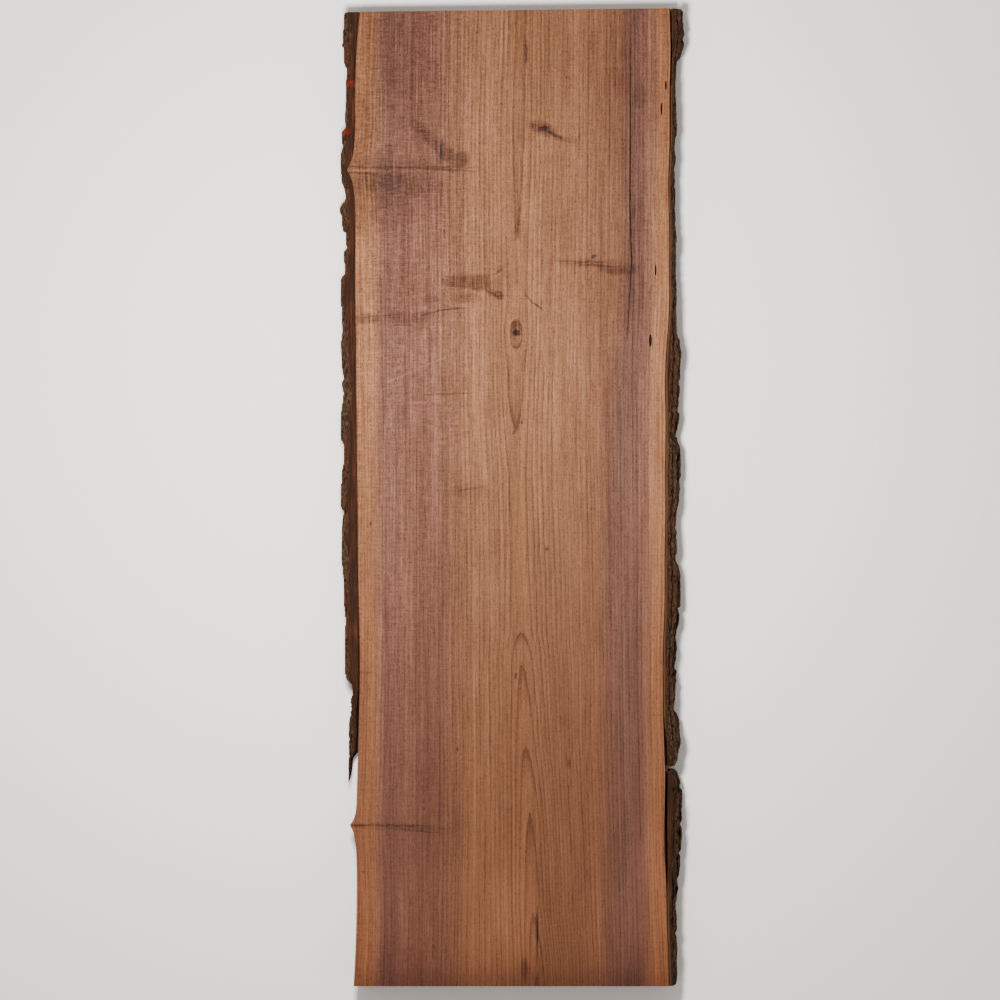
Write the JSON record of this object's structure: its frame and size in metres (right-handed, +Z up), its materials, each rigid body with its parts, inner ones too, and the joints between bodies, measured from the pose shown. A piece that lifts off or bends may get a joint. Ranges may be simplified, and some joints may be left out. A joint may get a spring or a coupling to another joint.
{
  "type": "wood slab",
  "caption": "Live-edge walnut slab sawn flat on both faces, with bark on most of both edges; a blank for a table, bench or counter top.",
  "frame": {"origin": "centre of the underside: the middle of the sawn back face's bounding box, on the surface the slab lies on", "axes": "+X across the slab to the right-hand edge of the pictured face, +Y along the grain towards the top of the tree, +Z up through the thickness, out of the pictured face"},
  "size_m": [0.4264, 1.204, 0.045],
  "materials": {
    "walnut": "sawn and planed, unfinished",
    "bark": "rough natural bark, sawn flush with the faces"
  },
  "bodies": {
    "root": {"wood_slab": "walnut", "bark_left": "bark", "bark_right_upper": "bark", "bark_right_lower": "bark"}
  },
  "joints": []
}
